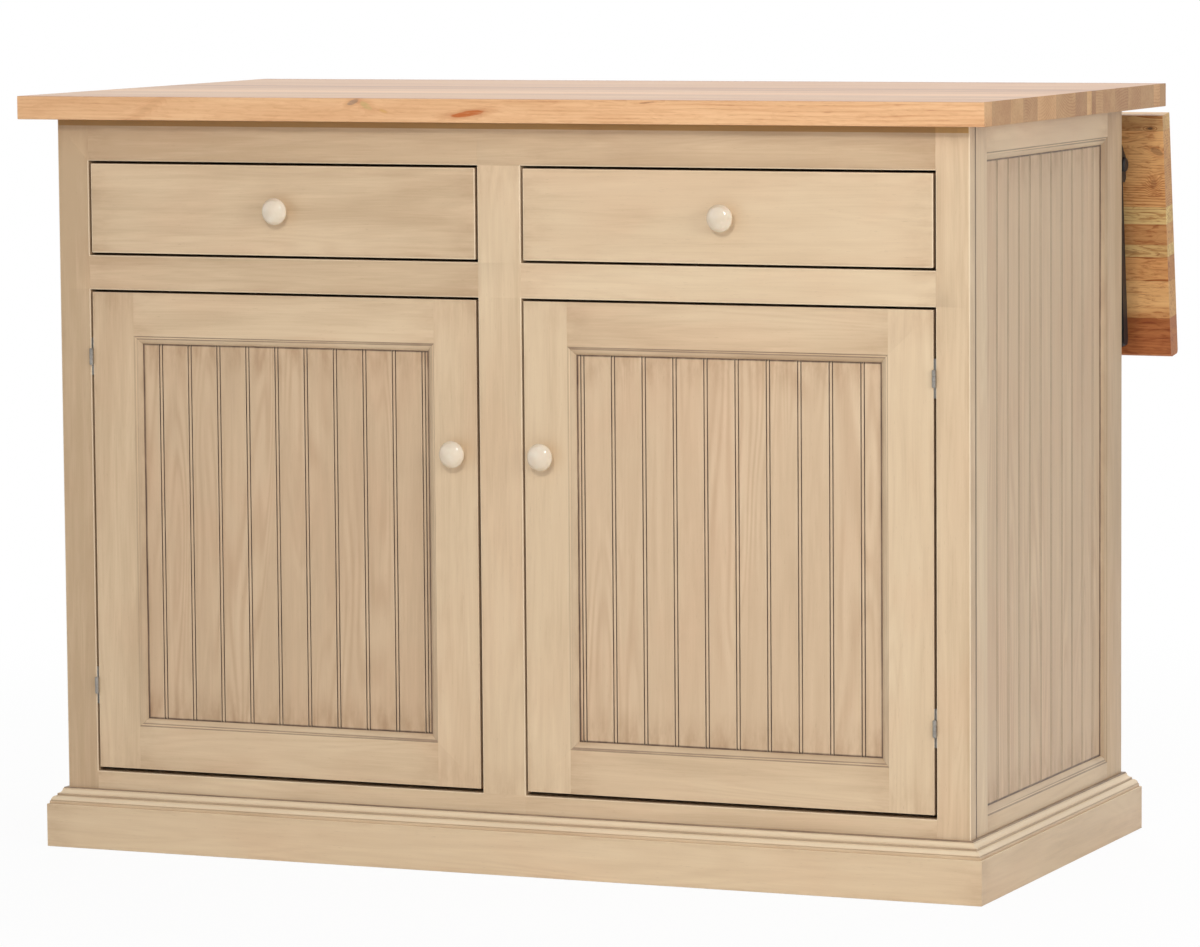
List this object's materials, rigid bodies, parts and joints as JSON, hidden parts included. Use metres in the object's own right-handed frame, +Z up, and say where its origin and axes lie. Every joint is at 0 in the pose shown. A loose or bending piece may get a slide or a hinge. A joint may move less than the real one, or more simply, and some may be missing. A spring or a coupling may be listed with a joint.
{
  "type": "drop leaf kitchen island",
  "caption": "Free-standing kitchen island with framed beadboard sides and doors, drawers, ceramic knobs, a moulded plinth, a butcher block top and a hinged drop leaf on folding supports.",
  "frame": {"origin": "on the floor, under the middle of the island's bounding box with the leaf hanging", "axes": "+X along the width, to the right for someone who faces the doors; front faces -Y; the leaf hangs at +Y; +Z up"},
  "size_m": [1.229, 0.7186, 0.914],
  "materials": {
    "frame_finish": "satin cream stain with a brown glaze",
    "beadboard_finish": "satin cream stain with a brown glaze in the quirks",
    "butcher_block": "satin clear oil on edge-glued oak staves",
    "leaf_block": "satin clear oil on edge-glued staves of mixed colour",
    "case_wood": "clear lacquered birch",
    "slide_steel": "zinc plated sheet steel",
    "hinge_steel": "satin steel",
    "support_black": "black powder coat",
    "glazed_ceramic": "glossy ivory glaze"
  },
  "bodies": {
    "cabinet": {"worktop": "butcher_block", "face_stile_left": "frame_finish", "face_stile_right": "frame_finish", "face_stile_center": "frame_finish", "face_rail_top": "frame_finish", "face_rails_middle": "frame_finish", "face_rail_bottom": "frame_finish", "left_side_frame": "frame_finish", "left_side_panel": "beadboard_finish", "right_side_frame": "frame_finish", "right_side_panel": "beadboard_finish", "back_frame": "frame_finish", "back_panels": "beadboard_finish", "bottom_deck": "case_wood", "center_partition": "case_wood", "shelf_left": "case_wood", "shelf_right": "case_wood", "shelf_pins": "slide_steel", "top_stretchers": "case_wood", "plinth_front_and_back": "frame_finish", "plinth_sides": "frame_finish", "cap_molding_front_and_back": "frame_finish", "cap_molding_sides": "frame_finish", "slide_blocks": "case_wood", "slide_case_members": "slide_steel", "door_hinge_frame_leaves": "hinge_steel", "door_hinge_pins": "hinge_steel", "leaf_hinge_top_flaps": "hinge_steel", "leaf_hinge_pins": "hinge_steel", "support_plates": "support_black", "support_pivots": "support_black", "cabinet_screws": "support_black"},
    "left_door": {"left_door_stiles": "frame_finish", "left_door_rails": "frame_finish", "left_door_panel": "beadboard_finish", "left_door_knob": "glazed_ceramic", "left_door_hinge_leaves": "hinge_steel"},
    "right_door": {"right_door_stiles": "frame_finish", "right_door_rails": "frame_finish", "right_door_panel": "beadboard_finish", "right_door_knob": "glazed_ceramic", "right_door_hinge_leaves": "hinge_steel"},
    "left_drawer": {"left_drawer_front": "frame_finish", "left_drawer_box": "case_wood", "left_drawer_bottom": "case_wood", "left_drawer_knob": "glazed_ceramic", "left_drawer_slide_members": "slide_steel"},
    "right_drawer": {"right_drawer_front": "frame_finish", "right_drawer_box": "case_wood", "right_drawer_bottom": "case_wood", "right_drawer_knob": "glazed_ceramic", "right_drawer_slide_members": "slide_steel"},
    "left_slide": {"left_slide_middles": "slide_steel"},
    "right_slide": {"right_slide_middles": "slide_steel"},
    "leaf": {"drop_leaf": "leaf_block", "leaf_hinge_drop_flaps": "hinge_steel", "support_arms": "support_black", "leaf_screws": "support_black"},
    "left_brace": {"left_brace": "support_black"},
    "right_brace": {"right_brace": "support_black"}
  },
  "joints": [
    {"name": "left_door_hinge", "type": "hinge", "parent": "cabinet", "child": "left_door", "pos_m": [-0.54, -0.32071, 0.4], "axis": [0, 0, -1], "range_deg": [0, 165]},
    {"name": "right_door_hinge", "type": "hinge", "parent": "cabinet", "child": "right_door", "pos_m": [0.54, -0.32071, 0.4], "axis": [0, 0, 1], "range_deg": [0, 165]},
    {"name": "left_drawer_pull", "type": "slide", "parent": "cabinet", "child": "left_drawer", "axis": [0, -1, 0], "range_m": [0, 0.4]},
    {"name": "left_slide_run", "type": "slide", "parent": "cabinet", "child": "left_slide", "axis": [0, -1, 0], "range_m": [0, 0.2]},
    {"name": "right_drawer_pull", "type": "slide", "parent": "cabinet", "child": "right_drawer", "axis": [0, -1, 0], "range_m": [0, 0.4]},
    {"name": "right_slide_run", "type": "slide", "parent": "cabinet", "child": "right_slide", "axis": [0, -1, 0], "range_m": [0, 0.2]},
    {"name": "leaf_fold", "type": "hinge", "parent": "cabinet", "child": "leaf", "pos_m": [0, 0.29668, 0.889], "axis": [1, 0, 0], "range_deg": [0, 83]},
    {"name": "left_brace_pivot", "type": "hinge", "parent": "cabinet", "child": "left_brace", "pos_m": [-0.559, 0.28669, 0.815], "axis": [1, 0, 0], "range_deg": [0, 99.52]},
    {"name": "right_brace_pivot", "type": "hinge", "parent": "cabinet", "child": "right_brace", "pos_m": [0.559, 0.28669, 0.815], "axis": [1, 0, 0], "range_deg": [0, 99.52]}
  ],
  "couplings": [
    {"joint": "left_slide_run", "follows": "left_drawer_pull", "ratio": 0.5},
    {"joint": "right_slide_run", "follows": "right_drawer_pull", "ratio": 0.5},
    {"joint": "left_brace_pivot", "follows": "leaf_fold", "ratio": 1.1991},
    {"joint": "right_brace_pivot", "follows": "leaf_fold", "ratio": 1.1991}
  ]
}
